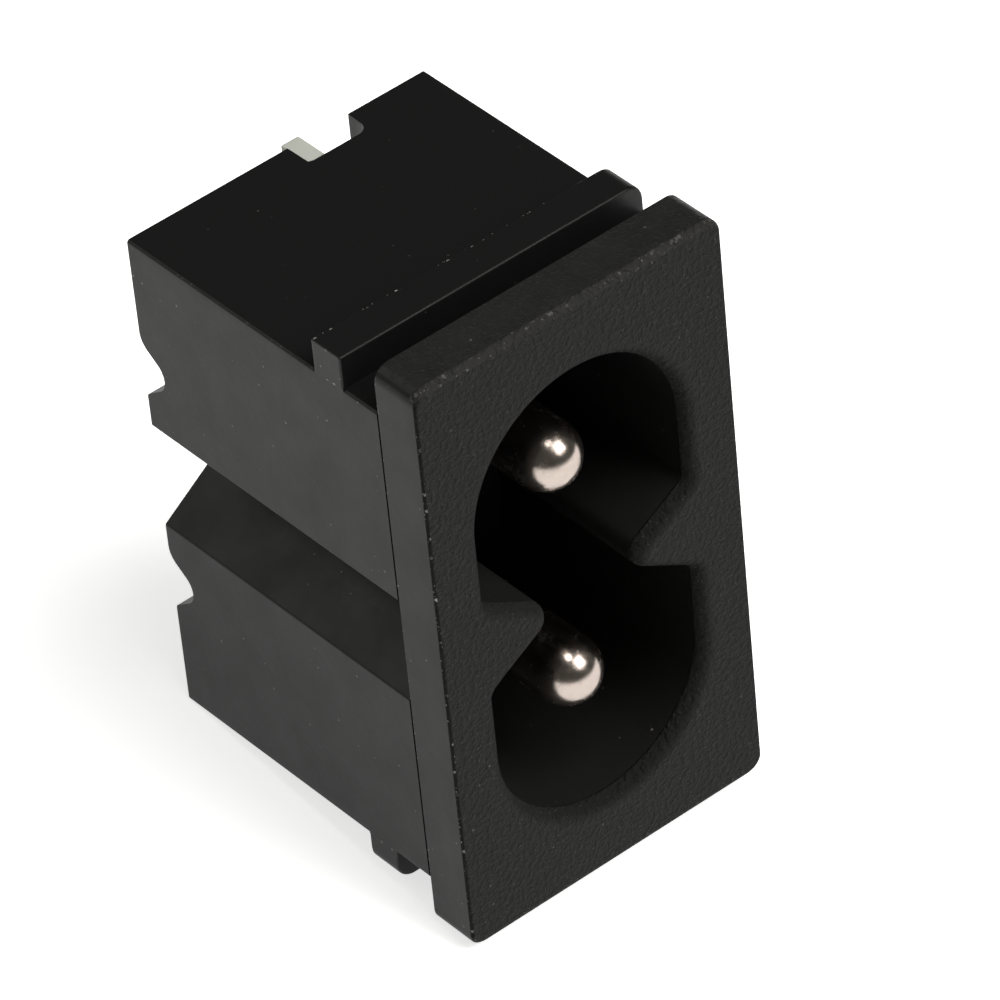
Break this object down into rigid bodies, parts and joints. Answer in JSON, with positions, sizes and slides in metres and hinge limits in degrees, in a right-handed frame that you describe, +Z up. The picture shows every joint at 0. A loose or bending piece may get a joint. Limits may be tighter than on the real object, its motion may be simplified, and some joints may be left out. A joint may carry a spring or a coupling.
{
  "type": "figure eight power connector",
  "caption": "Panel-mount mains inlet: a moulded rectangular housing with a figure eight recess, round domed contact pins, V grooves down the sides and end slots for a panel edge.",
  "frame": {"origin": "centre of the flange's front face, midway between the two pins", "axes": "+X across the flange, +Y from the flange's front face back into the housing, +Z up along the line of the pins"},
  "size_m": [0.012, 0.0143, 0.0222],
  "materials": {
    "housing": "satin moulded black, with a fine spark-eroded grain on the flange front",
    "contact": "bright nickel plate over brass"
  },
  "bodies": {
    "root": {"inlet_housing": "housing", "upper_contact": "contact", "lower_contact": "contact"}
  },
  "joints": []
}
